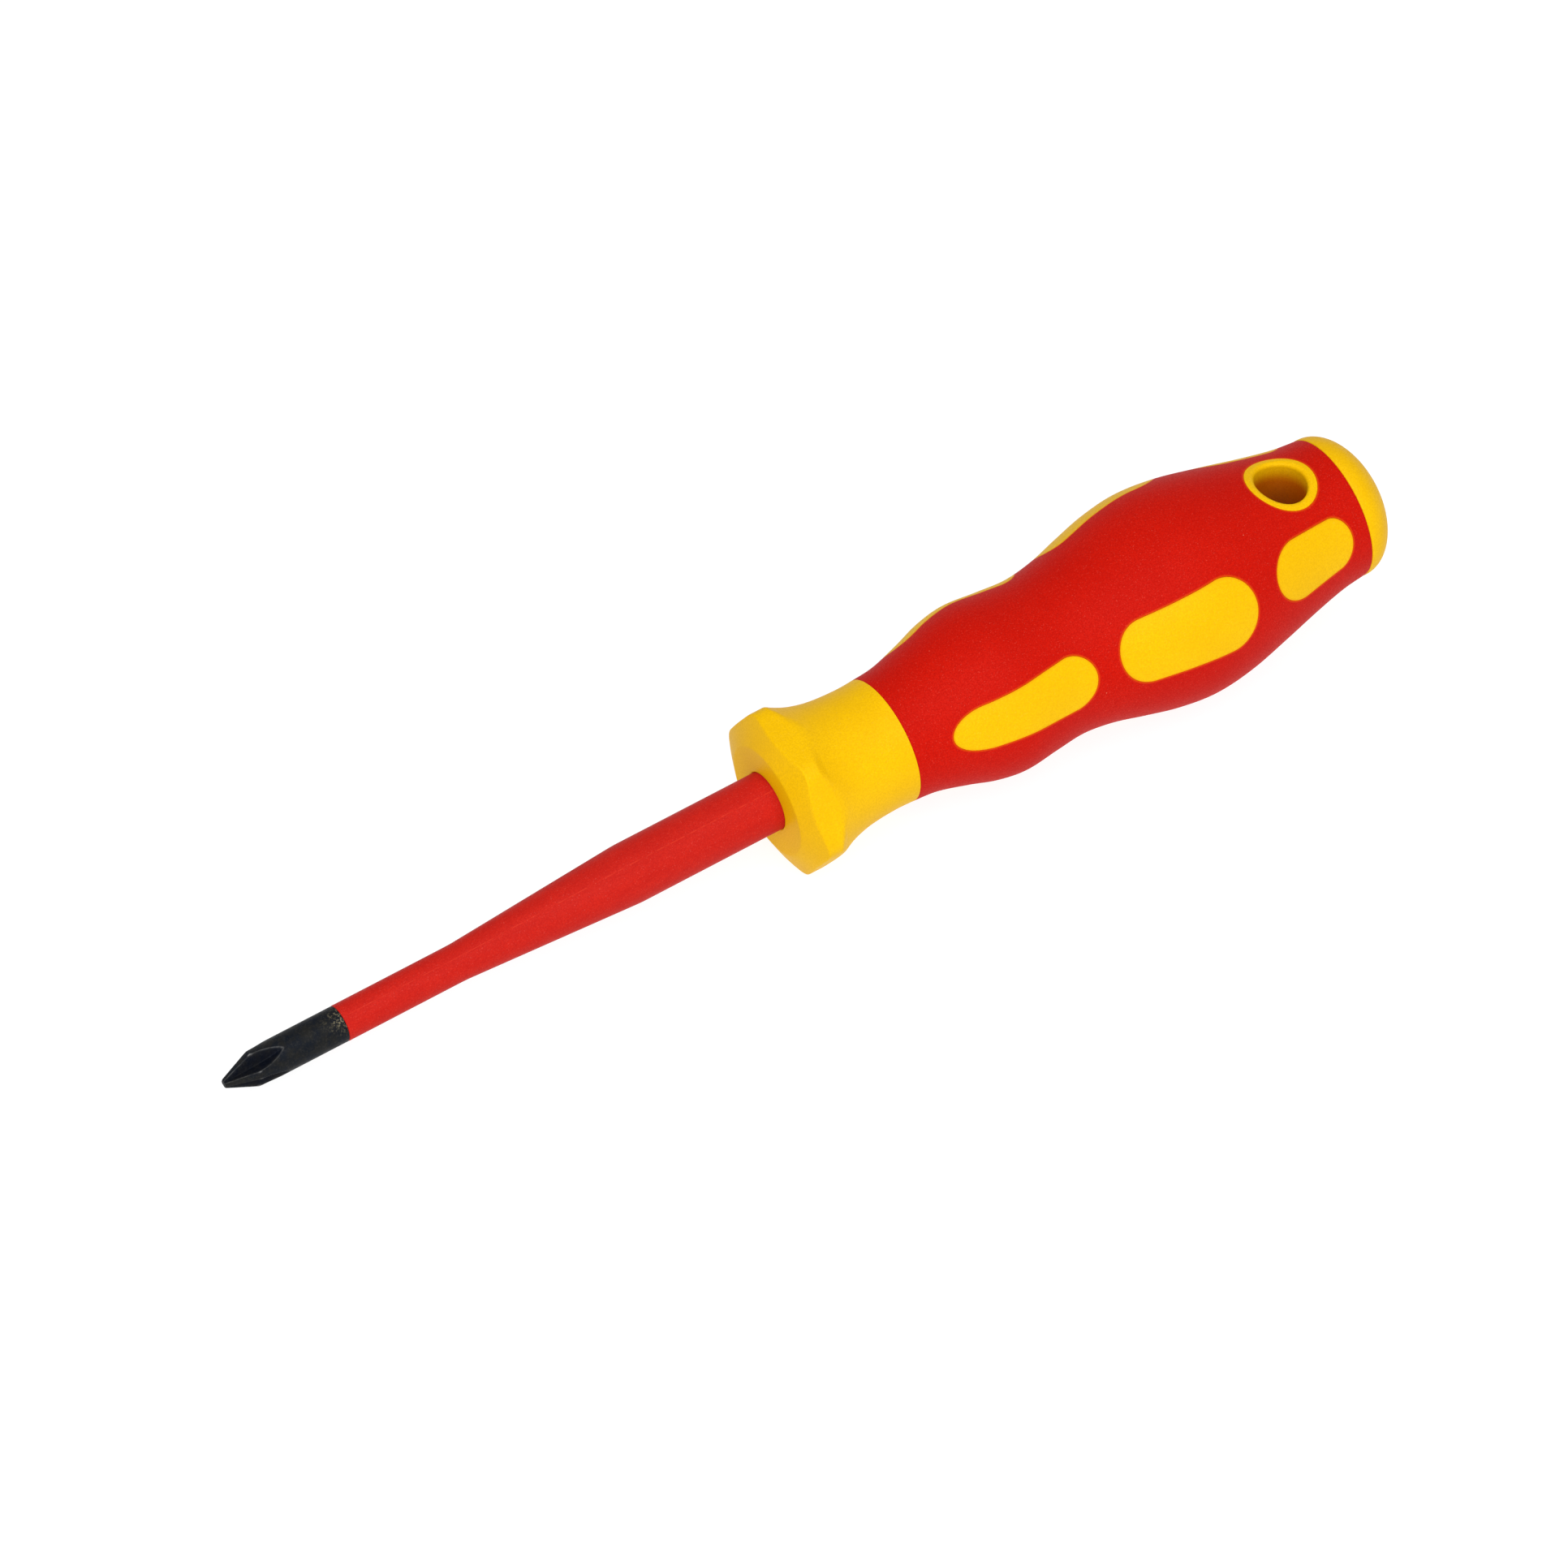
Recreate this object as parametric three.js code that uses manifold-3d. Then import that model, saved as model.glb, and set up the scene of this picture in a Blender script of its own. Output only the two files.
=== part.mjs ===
// Insulated cross-head screwdriver, size 1 by 80 mm, with a two-colour moulded handle.
// Millimetres. The origin is the tip of the blade, +X runs along the tool to the end cap
// and +Z is up through the hanging hole.
import * as THREE from 'three';
import { mergeVertices } from 'three/addons/utils/BufferGeometryUtils.js';
import Module from 'manifold-3d';

const wasm = await Module();
wasm.setup();

// ---------------------------------------------------------------- driving dimensions

const GAP = 0.25; // clearance modelled between neighbouring pieces
const SIDES = 36; // facets round the handle
const BLADE_SIDES = 24; // facets round the blade and its sleeve
const SURFACE_STEP = 3.2; // facet length along the grip
const NECK_STEP = 1.6; // facet length where the outline curves tightly
const HIDDEN_STEP = 4.5; // facet length between the core and the grip

// Blade, measured from the tip.
const BLADE_LENGTH = 80; // tip to the front face of the collar
const SHANK_RADIUS = 2.42; // bare steel in front of the sleeve
const TIP_FLAT_RADIUS = 0.57; // blunt end of the cone at the tip
const CONE_LENGTH = 4.2;
const FLUTE_ROOT = 0.36; // height of the flute's root above the axis, at the tip
const FLUTE_RISE = 0.1; // slope of the root along the blade
const FLUTE_CURVE_START = 4.5; // the root turns up to the surface from here
const FLUTE_RUN_OUT = 8.4; // and reaches it here
const FLUTE_END = 9.6; // the cut stops here, clear above the surface
const FLUTE_HALF_ANGLE = 46; // degrees, half the angle of the V
const FLUTE_TURN = 19; // degrees round from the top of the tool to the first flute
const BARE_LENGTH = 16.8; // bare steel, tip to sleeve
const SLIM_ROD_RADIUS = 1.55; // steel under the slim part of the sleeve
const ROD_RADIUS = 2.25; // steel under the thick part of the sleeve and in the handle
const TANG_END = 122; // the steel ends here, inside the handle
const WING_START = 110;
const WING_LENGTH = 8;
const WING_SPAN = 7.6;
const WING_THICKNESS = 1.6;

// Insulating sleeve, measured from the tip.
const SLIM_SLEEVE_RADIUS = 2.44;
const SLEEVE_RADIUS = 3.98;
const TAPER_START = 34;
const TAPER_END = 59;
const SLEEVE_END = 102; // the sleeve runs on this far, into the handle

// Handle, measured from the front face of the collar.
const COLLAR_FACE_RADIUS = 7.6;
const COLLAR_APOTHEM = 10.4; // half the distance across the six flats
const COLLAR_CORNER_RADIUS = 11.4;
const COLLAR_CHAMFER = 1.8; // length of the cone behind the front face
const COLLAR_BACK = 3.8; // the corners end here and the neck begins
const COLLAR_LENGTH = 7; // the flats are cut over this length
const GRIP_START = 17.46; // seam between neck and grip
const GRIP_END = 86; // seam between grip and end cap
const GRIP_THICKNESS = 2.5; // red skin over the core
const CAP_DOME_LENGTH = 5.7;
const CAP_RADIUS = 9.66;
const CAP_RIM = 0.4; // straight rim of the cap, in front of the dome
const CAP_BEVEL = 0.1;
const CAP_FLAT_RADIUS = 2.4;
const SPIGOT_RADIUS = 6;
const SPIGOT_LENGTH = 1.9;

// Stations of the handle's outline: [distance from the collar face, radius].
const OUTLINE = [
  [3.8, 11.4], [5.2, 10.5], [7.5, 9.45], [10.5, 8.73], [14.5, 8.43], [17.5, 8.52],
  [21, 8.85], [25.5, 10.05], [29, 11.13], [32.8, 11.67], [37.5, 11.25], [42, 10.92],
  [46.5, 11.47], [51, 12.62], [55.5, 13.68], [60.5, 14.22], [66, 13.7], [72, 12.37],
  [78, 10.92], [82.5, 10], [86, 9.62],
];

// Hanging hole, straight down through the handle.
const HOLE_X = 78.05;
const HOLE_RADIUS = 3.45;
const BUSH_RADIUS = 4.72;

// Windows in the grip. Each row has up to three, at the same places along the handle.
// start and end lie on the row's centre line; nose and tail are the lengths of the
// rounded ends; noseHalf and tailHalf are half the widths where they begin.
const WINDOWS = {
  front: { start: 22.8, end: 43.5, nose: 5.5, tail: 3.6, noseHalf: 3.05, tailHalf: 3.68 },
  middle: { start: 46.9, end: 66.3, nose: 4, tail: 4.6, noseHalf: 4.45, tailHalf: 5.1 },
  rear: { start: 70.2, end: 83.4, nose: 4.2, tail: 2.9, noseHalf: 4.08, tailHalf: 3.62 },
};
const ROWS = { left: 60, right: -60, bottom: 180 }; // degrees round from the top

// ---------------------------------------------------------------- materials

const steel = new THREE.MeshStandardMaterial({ color: 0x23282d, roughness: 0.42, metalness: 0.85 });
const sleeveRed = new THREE.MeshStandardMaterial({ color: 0xd42420, roughness: 0.45 });
const gripRed = new THREE.MeshStandardMaterial({ color: 0xcc1f12, roughness: 0.65 });
const yellow = new THREE.MeshStandardMaterial({ color: 0xfccc10, roughness: 0.5 });

// ---------------------------------------------------------------- solids

// A closed geometry as a manifold solid, for joining and cutting.
function solidOf(geometry) {
  geometry.deleteAttribute('normal');
  geometry.deleteAttribute('uv');
  const merged = mergeVertices(geometry, 1e-4);
  const index = merged.index.array;
  const triangles = [];
  for (let i = 0; i < index.length; i += 3) {
    const [a, b, c] = index.slice(i, i + 3);
    if (a !== b && b !== c && c !== a) triangles.push(a, b, c);
  }
  return new wasm.Manifold(new wasm.Mesh({
    numProp: 3,
    vertProperties: new Float32Array(merged.attributes.position.array),
    triVerts: new Uint32Array(triangles),
  }));
}

// A manifold solid as a named mesh.
function meshOf(name, solid, material) {
  const { vertProperties, triVerts } = solid.getMesh();
  const geometry = new THREE.BufferGeometry();
  geometry.setAttribute('position', new THREE.BufferAttribute(vertProperties, 3));
  geometry.setIndex(new THREE.BufferAttribute(triVerts, 1));
  geometry.computeVertexNormals();
  const mesh = new THREE.Mesh(geometry, material);
  mesh.name = name;
  return mesh;
}

// A solid turned about the X axis from a closed outline of [x, radius] points.
function turned(outline, sides = SIDES) {
  const points = outline.map(([x, radius]) => new THREE.Vector2(radius, x));
  if (THREE.ShapeUtils.area(points) < 0) points.reverse();
  points.push(points[0].clone());
  const geometry = new THREE.LatheGeometry(points, sides);
  geometry.rotateZ(-Math.PI / 2);
  return solidOf(geometry);
}

// A shape drawn in Y and Z, extruded along X from start to end.
function extrudedAlongX(shape, start, end) {
  const geometry = new THREE.ExtrudeGeometry(shape, {
    depth: end - start, bevelEnabled: false, curveSegments: 24,
  });
  geometry.rotateY(Math.PI / 2);
  geometry.translate(start, 0, 0);
  return solidOf(geometry);
}

// A solid through a list of triangular sections, from the first to the last.
function lofted(sections) {
  const last = 3 * (sections.length - 1);
  const triangles = [0, 1, 2, last, last + 2, last + 1];
  for (let base = 0; base < last; base += 3) {
    for (let side = 0; side < 3; side += 1) {
      const [a, b] = [base + side, base + (side + 1) % 3];
      triangles.push(a, a + 3, b, b, a + 3, b + 3);
    }
  }
  const geometry = new THREE.BufferGeometry();
  geometry.setAttribute('position', new THREE.Float32BufferAttribute(sections.flat(2), 3));
  geometry.setIndex(triangles);
  return solidOf(geometry);
}

// Turns a solid about the X axis, by degrees from the top of the tool towards -Y.
const turnRound = (solid, degrees) => solid.rotate([degrees, 0, 0]);

// ---------------------------------------------------------------- handle outline

// Radius of the handle at a distance behind the collar face: a smooth curve through
// the stations of OUTLINE.
function handleRadius(x) {
  const last = OUTLINE.length - 1;
  const i = Math.max(0, OUTLINE.findLastIndex(([station], k) => station <= x && k < last));
  const slope = (k) => {
    const [before, after] = [OUTLINE[Math.max(0, k - 1)], OUTLINE[Math.min(last, k + 1)]];
    return (after[1] - before[1]) / (after[0] - before[0]);
  };
  const [x0, r0] = OUTLINE[i];
  const [x1, r1] = OUTLINE[i + 1];
  const width = x1 - x0;
  const t = (x - x0) / width;
  return (2 * t ** 3 - 3 * t ** 2 + 1) * r0 + (t ** 3 - 2 * t ** 2 + t) * width * slope(i)
    + (3 * t ** 2 - 2 * t ** 3) * r1 + (t ** 3 - t ** 2) * width * slope(i + 1);
}

// Points along the outline from start to end, sunk by a depth below the surface.
function outlinePoints(start, end, depth, spacing) {
  const steps = Math.ceil((end - start) / spacing);
  return Array.from({ length: steps + 1 }, (_, i) => {
    const x = start + (end - start) * i / steps;
    return [x, handleRadius(x) - depth];
  });
}

// The band of the handle between two depths below its surface.
function band(start, end, outerDepth, innerDepth) {
  const outer = outlinePoints(start, end, outerDepth, SURFACE_STEP);
  const inner = outlinePoints(start, end, innerDepth, HIDDEN_STEP).reverse();
  return turned([...outer, ...inner]);
}

// ---------------------------------------------------------------- windows and hole

// The outline of a window, grown by a margin all round.
function windowShape({ start, end, nose, tail, noseHalf, tailHalf }, margin) {
  const shape = new THREE.Shape();
  const quarter = Math.PI / 2;
  shape.absellipse(start + nose, 0, nose + margin, noseHalf + margin, quarter, 3 * quarter);
  shape.absellipse(end - tail, 0, tail + margin, tailHalf + margin, -quarter, quarter);
  return shape;
}

// A prism through a window's outline, standing out from the axis in its row.
function windowPrism(window, row, margin) {
  const geometry = new THREE.ExtrudeGeometry(windowShape(window, margin), {
    depth: 2 * CAP_RADIUS, bevelEnabled: false, curveSegments: 9,
  });
  return turnRound(solidOf(geometry), ROWS[row]);
}

// Every window of the grip, as [name, window, row]. The hanging hole takes the place
// of the rear window in the bottom row.
function windowList() {
  const list = [];
  for (const [place, window] of Object.entries(WINDOWS)) {
    for (const row of Object.keys(ROWS)) {
      if (place !== 'rear' || row !== 'bottom') list.push([`${place}_inlay_${row}`, window, row]);
    }
  }
  return list;
}

// A vertical cylinder on the axis of the hanging hole.
function holeCylinder(radius) {
  const geometry = new THREE.CylinderGeometry(radius, radius, 40, 28);
  geometry.rotateX(Math.PI / 2);
  geometry.translate(HOLE_X, 0, 0);
  return solidOf(geometry);
}

// ---------------------------------------------------------------- blade

// Height of a flute's root above the axis, at a distance from the tip.
function fluteRoot(x) {
  const straight = FLUTE_ROOT + FLUTE_RISE * x;
  const left = SHANK_RADIUS - FLUTE_ROOT - FLUTE_RISE * FLUTE_RUN_OUT;
  const along = Math.max(0, x - FLUTE_CURVE_START) / (FLUTE_RUN_OUT - FLUTE_CURVE_START);
  return straight + left * along ** 2;
}

// What one flute of the cross-head tip cuts away: a V whose root climbs from near the
// axis at the tip and turns up to the surface of the shank.
function fluteCutter(degrees) {
  const depth = 2 * SHANK_RADIUS;
  const half = depth * Math.tan(THREE.MathUtils.degToRad(FLUTE_HALF_ANGLE));
  const steps = 5;
  const curve = Array.from({ length: steps + 1 }, (_, i) => (
    FLUTE_CURVE_START + (FLUTE_END - FLUTE_CURVE_START) * i / steps
  ));
  const sections = [-1, 0, ...curve].map((x) => {
    const root = fluteRoot(x);
    return [[x, 0, root], [x, -half, root + depth], [x, half, root + depth]];
  });
  return turnRound(lofted(sections), degrees);
}

// The wings coined on the tang, which stop it turning in the handle.
function tangWings(margin) {
  const geometry = new THREE.BoxGeometry(
    WING_LENGTH + 2 * margin, WING_SPAN + 2 * margin, WING_THICKNESS + 2 * margin,
  );
  geometry.translate(WING_START + WING_LENGTH / 2, 0, 0);
  return solidOf(geometry);
}

function blade() {
  const rod = turned([
    [0, 0], [0, TIP_FLAT_RADIUS], [CONE_LENGTH, SHANK_RADIUS], [BARE_LENGTH, SHANK_RADIUS],
    [BARE_LENGTH, SLIM_ROD_RADIUS], [TAPER_START, SLIM_ROD_RADIUS], [TAPER_END, ROD_RADIUS],
    [TANG_END - 1, ROD_RADIUS], [TANG_END, ROD_RADIUS - 1], [TANG_END, 0],
  ], BLADE_SIDES);
  const fluted = [0, 90, 180, 270].reduce(
    (solid, quarter) => solid.subtract(fluteCutter(FLUTE_TURN + quarter)), rod,
  );
  return fluted.add(tangWings(0));
}

function bladeSleeve() {
  return turned([
    [BARE_LENGTH + GAP, SLIM_SLEEVE_RADIUS], [TAPER_START, SLIM_SLEEVE_RADIUS],
    [TAPER_END, SLEEVE_RADIUS], [SLEEVE_END, SLEEVE_RADIUS],
    [SLEEVE_END, ROD_RADIUS + GAP], [TAPER_END, ROD_RADIUS + GAP],
    [TAPER_START, SLIM_ROD_RADIUS + GAP], [BARE_LENGTH + GAP, SLIM_ROD_RADIUS + GAP],
  ], BLADE_SIDES);
}

// ---------------------------------------------------------------- handle

// What is cut away outside the collar's six flats.
function flatsCutter() {
  const shape = new THREE.Shape();
  shape.absarc(0, 0, 1.5 * COLLAR_CORNER_RADIUS, 0, 2 * Math.PI);
  const hexagon = new THREE.Path();
  const corner = COLLAR_APOTHEM / Math.cos(Math.PI / 6);
  for (let i = 0; i < 6; i += 1) {
    const angle = i * Math.PI / 3 - Math.PI / 6;
    const point = [corner * Math.cos(angle), corner * Math.sin(angle)];
    if (i === 0) hexagon.moveTo(...point);
    else hexagon.lineTo(...point);
  }
  hexagon.closePath();
  shape.holes.push(hexagon);
  return extrudedAlongX(shape, -1, COLLAR_LENGTH);
}

// The hard core: hexagonal collar and neck in front, and the body under the grip.
function handleCore() {
  const coreEnd = GRIP_END - GAP;
  const bore = SLEEVE_RADIUS + GAP;
  const sleeveStop = SLEEVE_END - BLADE_LENGTH + GAP;
  const tangStop = TANG_END - BLADE_LENGTH + GAP;
  const body = turned([
    [0, bore], [0, COLLAR_FACE_RADIUS], [COLLAR_CHAMFER, COLLAR_CORNER_RADIUS],
    ...outlinePoints(COLLAR_BACK, GRIP_START, 0, NECK_STEP),
    ...outlinePoints(GRIP_START, coreEnd, GRIP_THICKNESS, HIDDEN_STEP),
    [coreEnd, SPIGOT_RADIUS + GAP], [coreEnd - SPIGOT_LENGTH, SPIGOT_RADIUS + GAP],
    [coreEnd - SPIGOT_LENGTH, 0], [tangStop, 0], [tangStop, ROD_RADIUS + GAP],
    [sleeveStop, ROD_RADIUS + GAP], [sleeveStop, bore],
  ]);
  const wingPocket = tangWings(GAP).translate([-BLADE_LENGTH, 0, 0]);
  return body.subtract(flatsCutter()).subtract(wingPocket).subtract(holeCylinder(BUSH_RADIUS + GAP));
}

// The soft grip: a sleeve over the core, open at its windows and round the bush.
function gripShell() {
  const shell = band(GRIP_START + GAP, GRIP_END - GAP, 0, GRIP_THICKNESS - GAP);
  const cutters = windowList().map(([, window, row]) => windowPrism(window, row, GAP / 2));
  return cutters.reduce((solid, cutter) => solid.subtract(cutter), shell)
    .subtract(holeCylinder(BUSH_RADIUS + GAP));
}

// An inlay that fills one window, flush with the grip.
function inlay(window, row) {
  const shell = band(window.start - 1, window.end + 1, 0, GRIP_THICKNESS - GAP);
  return shell.intersect(windowPrism(window, row, -GAP / 2));
}

// The bush that lines the hanging hole, trimmed flush with the grip at both ends.
function hangHoleBush() {
  const reach = BUSH_RADIUS + 1;
  const trim = turned([
    [HOLE_X - reach, 0], ...outlinePoints(HOLE_X - reach, HOLE_X + reach, 0, NECK_STEP),
    [HOLE_X + reach, 0],
  ]);
  return holeCylinder(BUSH_RADIUS).subtract(holeCylinder(HOLE_RADIUS)).intersect(trim);
}

// The domed end cap, on a short spigot.
function endCap() {
  const start = GRIP_END;
  const steps = 7;
  const dome = Array.from({ length: steps + 1 }, (_, i) => {
    const angle = (i / steps) * Math.acos(CAP_FLAT_RADIUS / CAP_RADIUS);
    return [start + CAP_RIM + CAP_DOME_LENGTH * Math.sin(angle), CAP_RADIUS * Math.cos(angle)];
  });
  return turned([
    [start - SPIGOT_LENGTH + GAP, 0], [start - SPIGOT_LENGTH + GAP, SPIGOT_RADIUS],
    [start, SPIGOT_RADIUS], [start, CAP_RADIUS - CAP_BEVEL], ...dome,
    [dome[dome.length - 1][0], 0],
  ]);
}

// ---------------------------------------------------------------- assembly

const handle = new THREE.Group();
handle.position.x = BLADE_LENGTH;
handle.add(
  meshOf('handle_core', handleCore(), yellow),
  meshOf('grip_shell', gripShell(), gripRed),
  meshOf('hang_hole_bush', hangHoleBush(), yellow),
  meshOf('end_cap', endCap(), yellow),
);
for (const [name, window, row] of windowList()) {
  handle.add(meshOf(name, inlay(window, row), yellow));
}

const screwdriver = new THREE.Group();
screwdriver.add(
  meshOf('blade', blade(), steel),
  meshOf('blade_sleeve', bladeSleeve(), sleeveRed),
  handle,
);

export default screwdriver;
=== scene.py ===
"""Insulated cross-head screwdriver, red grip over a yellow core, on a pale floor.

Shapes are worked out in millimetres in the frame of the tool: X runs along its axis from the
tip of the blade, and Z is up through the hanging hole. Angles round the tool start at the top
and grow towards -Y. Every mesh is turned into metres when it is made.
"""
import math

import bmesh
import bpy
from mathutils import Matrix, Vector
from mathutils.geometry import delaunay_2d_cdt


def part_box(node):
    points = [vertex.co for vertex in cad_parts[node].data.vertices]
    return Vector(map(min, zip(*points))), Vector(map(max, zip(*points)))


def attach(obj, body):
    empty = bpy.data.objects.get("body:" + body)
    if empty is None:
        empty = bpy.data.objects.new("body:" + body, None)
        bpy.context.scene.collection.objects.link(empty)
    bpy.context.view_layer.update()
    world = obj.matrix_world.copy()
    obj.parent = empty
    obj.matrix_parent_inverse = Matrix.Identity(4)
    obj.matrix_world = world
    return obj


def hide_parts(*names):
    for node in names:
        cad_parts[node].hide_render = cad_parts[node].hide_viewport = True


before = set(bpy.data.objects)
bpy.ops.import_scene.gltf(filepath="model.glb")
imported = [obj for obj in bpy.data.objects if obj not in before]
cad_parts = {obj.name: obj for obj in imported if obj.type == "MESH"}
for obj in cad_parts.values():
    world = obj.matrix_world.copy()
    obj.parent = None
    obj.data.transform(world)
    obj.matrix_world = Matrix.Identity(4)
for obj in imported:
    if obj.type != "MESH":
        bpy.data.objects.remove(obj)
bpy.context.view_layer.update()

MM = 0.001


def low_x(node):
    """Where a CAD node begins along the tool, in millimetres."""
    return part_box(node)[0].x / MM


def high_x(node):
    """Where a CAD node ends along the tool, in millimetres."""
    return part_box(node)[1].x / MM


# ------------------------------------------------------------------ driving dimensions, mm

COLLAR_X = low_x("handle_core")  # front face of the collar; the handle is measured from it
GRIP_START = round(low_x("grip_shell") - COLLAR_X - 0.25, 2)
GRIP_END = round(high_x("grip_shell") - COLLAR_X + 0.25, 2)
CAP_END = high_x("end_cap") - COLLAR_X
BARE_LENGTH = low_x("blade_sleeve") - 0.25
SLEEVE_END = high_x("blade_sleeve")
TANG_END = high_x("blade")

# Blade and sleeve, measured from the tip.
SHANK_RADIUS = 2.42
TIP_FLAT_RADIUS = 0.57
TIP_FILLET = 0.22
CONE_LENGTH = 4.2
FLUTE_ROOT = 0.36
FLUTE_RISE = 0.1
FLUTE_CURVE_START = 4.5
FLUTE_RUN_OUT = 8.4
FLUTED_LENGTH = 11.0  # the blade is finely divided as far as this
FLUTE_HALF_ANGLE = math.radians(46)
FLUTE_TURN = math.radians(19)
FLUTE_ROOT_ROUNDING = 0.06  # angle over which the bottom of a flute is rounded
FLUTE_EDGE = 0.12  # width over which the edges of the flutes are rounded
TIP_MIDDLE = 0.3  # within this radius the blade's end isn't marked by the flutes
CONE_FILLET = 0.6
SHANK_END_FILLET = 0.08
SLIM_ROD_RADIUS = 1.55
ROD_RADIUS = 2.25
WING_START = 110.0
WING_LENGTH = 8.0
WING_SPAN = 7.6
WING_THICKNESS = 1.6
WING_RISE = 0.02  # length over which an end face of the wings rises
SLIM_SLEEVE_RADIUS = 2.44
SLEEVE_RADIUS = 3.98
TAPER_START = 34.0
TAPER_END = 59.0
TAPER_START_FILLET = 30.0
TAPER_END_FILLET = 22.0
SLEEVE_RIM_FILLET = 0.14

# Handle, measured from the front face of the collar.
COLLAR_FACE_RADIUS = 7.6
COLLAR_APOTHEM = 10.4
COLLAR_CORNER_RADIUS = 11.4
COLLAR_CHAMFER = 1.8
COLLAR_BACK = 3.8
COLLAR_REACH = 9.0  # the flats are cut no further back than this
COLLAR_EDGE = 0.45  # width over which the edges of the flats are rounded
COLLAR_FACE_FILLET = 0.9
COLLAR_CORNER_FILLET = 0.35
COLLAR_CORNER_EXTRA = 0.15  # the corners are drawn this much proud before they are rounded
COLLAR_MOUTH = 0.5  # length of the finely divided mouth of the collar's bore
COLLAR_MOUTH_FILLET = 0.12
NECK_START = 5.0
SWELL = (50.0, 70.0)  # the palm swell lies between these places
GRIP_THICKNESS = 2.5
CAP_RADIUS = 9.66
CAP_RIM = 0.4
CAP_EDGE_FILLET = 0.25
SPIGOT_FILLET = 0.2
SPIGOT_RADIUS = 6.0
SPIGOT_LENGTH = 1.9
HOLE_X = 78.05
HOLE_RADIUS = 3.45
BUSH_RADIUS = 4.72
BUSH_LIP = 0.75  # rounding of the bush's inner edge

# Stations of the handle's outline: (distance from the collar face, radius).
OUTLINE = [
    (3.8, 11.4), (5.2, 10.5), (7.5, 9.45), (10.5, 8.73), (14.5, 8.43), (17.5, 8.52),
    (21, 8.85), (25.5, 10.05), (29, 11.13), (32.8, 11.67), (37.5, 11.25), (42, 10.92),
    (46.5, 11.47), (51, 12.62), (55.5, 13.68), (60.5, 14.22), (66, 13.7), (72, 12.37),
    (78, 10.92), (82.5, 10), (86, 9.62),
]

# Windows in the grip: start, end, lengths of the rounded nose and tail, and half the
# width where each begins.
WINDOWS = {
    "front": (22.8, 43.5, 5.5, 3.6, 3.05, 3.68),
    "middle": (46.9, 66.3, 4.0, 4.6, 4.45, 5.1),
    "rear": (70.2, 83.4, 4.2, 2.9, 4.08, 3.62),
}
ROWS = {"left": math.radians(60), "right": math.radians(-60), "bottom": math.pi}

SEAM = 0.02  # width of the hairline between bonded pieces
LIP = 0.06  # rounding of the edges along a seam
HALO = 0.4  # width of the band along a seam where the colours change
CUT = math.radians(120)  # the grip's sheet is closed along this line, clear of every window
FLAT_RADIUS = 11.5  # radius at which the grip is unrolled

# Fineness of the meshes.
MERGE = 0.002  # points closer than this are joined
FINE_STEP = 0.55  # spacing of points on the grip and the inlays
FINE_CLEARANCE = 0.4 * FINE_STEP  # these points keep this far from the seams' bands
TIP_STEP = 0.07
EDGE_STEP = 0.16
NECK_STEP = 0.25
LONG_STEP = 0.5
UNDER_STEP = 2.0
CAP_STEP = 0.3
BUSH_STEP = 0.08
MIDDLE = 0.5  # radius of the fan of triangles that closes a flat face
FILLET_STEPS = 6
WINDOW_END_POINTS = 40
WINDOW_SIDE_POINTS = 24
HOLE_SIDES = 96
BLADE_SIDES = 288
SLEEVE_SIDES = 128
CORE_SIDES = 288
BUSH_SIDES = 128
BUSH_WALL_ROWS = 40
MOUTH_STEPS = 10
CAP_SIDES = 192
DOME_STEPS = 60

# ------------------------------------------------------------------ curves


def smooth_min(a, b, blend):
    """The smaller of a and b, rounded where they are closer than blend."""
    h = min(1.0, max(0.0, 0.5 + 0.5 * (b - a) / blend))
    return b + (a - b) * h - blend * h * (1 - h)


def handle_radius(s):
    """Radius of the handle at a distance behind the collar face."""
    last = len(OUTLINE) - 1
    i = max([0] + [k for k in range(last) if OUTLINE[k][0] <= s])

    def slope(k):
        before, after = OUTLINE[max(0, k - 1)], OUTLINE[min(last, k + 1)]
        return (after[1] - before[1]) / (after[0] - before[0])

    (s0, r0), (s1, r1) = OUTLINE[i], OUTLINE[i + 1]
    width = s1 - s0
    t = (s - s0) / width
    return (
        (2 * t**3 - 3 * t**2 + 1) * r0 + (t**3 - 2 * t**2 + t) * width * slope(i)
        + (3 * t**2 - 2 * t**3) * r1 + (t**3 - t**2) * width * slope(i + 1)
    )


def spaced(start, end, step):
    """Numbers from start to end, no further than step apart."""
    count = max(1, math.ceil(abs(end - start) / step - 1e-6))
    return [start + (end - start) * i / count for i in range(count + 1)]


def filleted(corners, step):
    """A path through corners (x, r, fillet radius), with each corner rounded and points
    no further than step apart along the straight parts."""
    points = [Vector(corners[0][:2])]
    for (before, corner, after) in zip(corners, corners[1:], corners[2:]):
        here = Vector(corner[:2])
        back, on = Vector(before[:2]) - here, Vector(after[:2]) - here
        turn = math.pi - back.angle(on)
        if corner[2] <= 0 or turn < 1e-3:
            arc = [here]
        else:
            cut = corner[2] * math.tan(turn / 2)
            cut = min(cut, 0.49 * back.length, 0.49 * on.length)
            radius = cut / math.tan(turn / 2)
            middle = (back.normalized() + on.normalized()).normalized()
            centre = here + middle * (radius / math.cos(turn / 2))
            first = here + back.normalized() * cut - centre
            side = 1 if first.cross(here + on.normalized() * cut - centre) > 0 else -1
            arc = []
            for k in range(FILLET_STEPS + 1):
                angle = side * turn * k / FILLET_STEPS
                c, s = math.cos(angle), math.sin(angle)
                arc.append(centre + Vector((first.x * c - first.y * s, first.x * s + first.y * c)))
        points += between(points[-1], arc[0], step) + arc
    end = Vector(corners[-1][:2])
    points += between(points[-1], end, step) + [end]
    return [(p.x, p.y) for p in points]


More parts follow.
